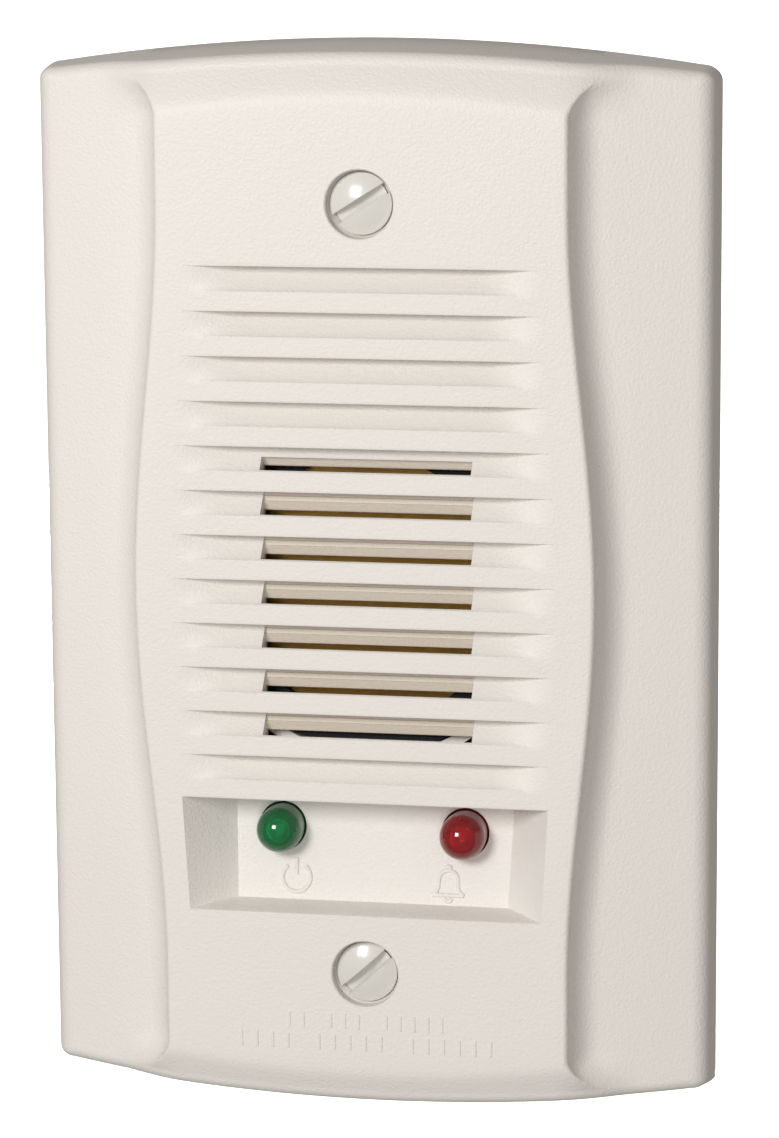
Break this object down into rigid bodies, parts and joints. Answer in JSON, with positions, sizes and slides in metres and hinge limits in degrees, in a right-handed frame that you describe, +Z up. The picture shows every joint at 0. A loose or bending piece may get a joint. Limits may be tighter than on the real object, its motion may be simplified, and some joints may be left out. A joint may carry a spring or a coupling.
{
  "type": "wall-plate alarm sounder with indicator lamps",
  "caption": "Wall-plate alarm sounder: a louvred cover on a single-gang plate with power and alarm lamps, a piezo sounder, circuit board, screw terminals and rear cover.",
  "frame": {"origin": "centre of the plate's back face on the wall plane, midway between the two mounting screws", "axes": "+Z up, -Y out of the wall towards the viewer, +X to the viewer's right"},
  "size_m": [0.0736, 0.0274, 0.1168],
  "materials": {
    "cover_plastic": "moulded warm off-white, fine matte texture",
    "painted_steel": "off-white enamel, semi-gloss",
    "green_epoxy": "tinted clear epoxy, glossy",
    "red_epoxy": "tinted clear epoxy, glossy",
    "tinned_wire": "tinned, bright",
    "black_nylon": "matte",
    "foam": "closed-cell foam, matte",
    "brass": "rolled, satin",
    "piezo_ceramic": "silvered ceramic, matte",
    "black_plastic": "moulded, satin",
    "red_insulation": "pvc, satin",
    "black_insulation": "pvc, satin",
    "board_laminate": "glass-epoxy laminate under clear lacquer",
    "zinc_steel": "zinc plated, satin",
    "terminal_plastic": "moulded, satin",
    "tinned_brass": "tin plated, satin",
    "jumper_plastic": "moulded, satin",
    "chip_epoxy": "moulded epoxy, matte",
    "capacitor_sleeve": "shrunk sleeve, glossy",
    "ferrite": "pressed ferrite, matte",
    "enamelled_copper": "enamelled wire, glossy",
    "resistor_lacquer": "lacquered, glossy"
  },
  "bodies": {
    "housing": {"alarm_lamp": "red_epoxy", "alarm_lamp_leads": "tinned_wire", "alarm_lamp_spacer": "black_nylon", "boost_coil_core": "ferrite", "boost_coil_winding": "enamelled_copper", "circuit_board": "board_laminate", "circuit_board_screws": "zinc_steel", "driver_chip": "chip_epoxy", "driver_chip_pins": "tinned_wire", "front_cover": "cover_plastic", "power_lamp": "green_epoxy", "power_lamp_leads": "tinned_wire", "power_lamp_spacer": "black_nylon", "rear_cover": "black_plastic", "rear_cover_screws": "zinc_steel", "rectifier_diodes": "chip_epoxy", "resistors": "resistor_lacquer", "selector_base": "black_plastic", "selector_pins": "tinned_brass", "sounder_ceramic": "piezo_ceramic", "sounder_cup": "black_plastic", "sounder_disc": "brass", "sounder_gasket": "foam", "sounder_lead_negative": "black_insulation", "sounder_lead_positive": "red_insulation", "storage_capacitor": "capacitor_sleeve", "switching_transistor": "chip_epoxy", "terminal_block": "terminal_plastic", "terminal_contacts": "tinned_brass"},
    "lower_mounting_screw": {"lower_mounting_screw": "painted_steel"},
    "terminal_clamp_1": {"terminal_clamp_1": "zinc_steel"},
    "terminal_clamp_2": {"terminal_clamp_2": "zinc_steel"},
    "terminal_clamp_3": {"terminal_clamp_3": "zinc_steel"},
    "terminal_clamp_4": {"terminal_clamp_4": "zinc_steel"},
    "terminal_screw_1": {"terminal_screw_1": "zinc_steel"},
    "terminal_screw_2": {"terminal_screw_2": "zinc_steel"},
    "terminal_screw_3": {"terminal_screw_3": "zinc_steel"},
    "terminal_screw_4": {"terminal_screw_4": "zinc_steel"},
    "tone_jumper": {"tone_jumper": "jumper_plastic"},
    "upper_mounting_screw": {"upper_mounting_screw": "painted_steel"}
  },
  "joints": [
    {"name": "upper_mounting_screw_turn", "type": "hinge", "parent": "housing", "child": "upper_mounting_screw", "pos_m": [0, 0, 0.04167], "axis": [0, 1, 0], "continuous": true},
    {"name": "lower_mounting_screw_turn", "type": "hinge", "parent": "housing", "child": "lower_mounting_screw", "pos_m": [0, 0, -0.04167], "axis": [0, 1, 0], "continuous": true},
    {"name": "terminal_screw_1_turn", "type": "hinge", "parent": "terminal_clamp_1", "child": "terminal_screw_1", "pos_m": [-0.01143, 0, -0.0147], "axis": [0, 1, 0], "range_deg": [0, 2161]},
    {"name": "terminal_clamp_1_lift", "type": "slide", "parent": "housing", "child": "terminal_clamp_1", "axis": [0, 1, 0], "range_m": [0, 0.003]},
    {"name": "terminal_screw_2_turn", "type": "hinge", "parent": "terminal_clamp_2", "child": "terminal_screw_2", "pos_m": [-0.00381, 0, -0.0147], "axis": [0, 1, 0], "range_deg": [0, 2161]},
    {"name": "terminal_clamp_2_lift", "type": "slide", "parent": "housing", "child": "terminal_clamp_2", "axis": [0, 1, 0], "range_m": [0, 0.003]},
    {"name": "terminal_screw_3_turn", "type": "hinge", "parent": "terminal_clamp_3", "child": "terminal_screw_3", "pos_m": [0.00381, 0, -0.0147], "axis": [0, 1, 0], "range_deg": [0, 2161]},
    {"name": "terminal_clamp_3_lift", "type": "slide", "parent": "housing", "child": "terminal_clamp_3", "axis": [0, 1, 0], "range_m": [0, 0.003]},
    {"name": "terminal_screw_4_turn", "type": "hinge", "parent": "terminal_clamp_4", "child": "terminal_screw_4", "pos_m": [0.01143, 0, -0.0147], "axis": [0, 1, 0], "range_deg": [0, 2161]},
    {"name": "terminal_clamp_4_lift", "type": "slide", "parent": "housing", "child": "terminal_clamp_4", "axis": [0, 1, 0], "range_m": [0, 0.003]},
    {"name": "tone_jumper_pull", "type": "slide", "parent": "housing", "child": "tone_jumper", "axis": [0, 1, 0], "range_m": [0, 0.007]}
  ],
  "couplings": [
    {"joint": "terminal_screw_1_turn", "follows": "terminal_clamp_1_lift", "rad_per_m": 12566},
    {"joint": "terminal_screw_2_turn", "follows": "terminal_clamp_2_lift", "rad_per_m": 12566},
    {"joint": "terminal_screw_3_turn", "follows": "terminal_clamp_3_lift", "rad_per_m": 12566},
    {"joint": "terminal_screw_4_turn", "follows": "terminal_clamp_4_lift", "rad_per_m": 12566}
  ]
}
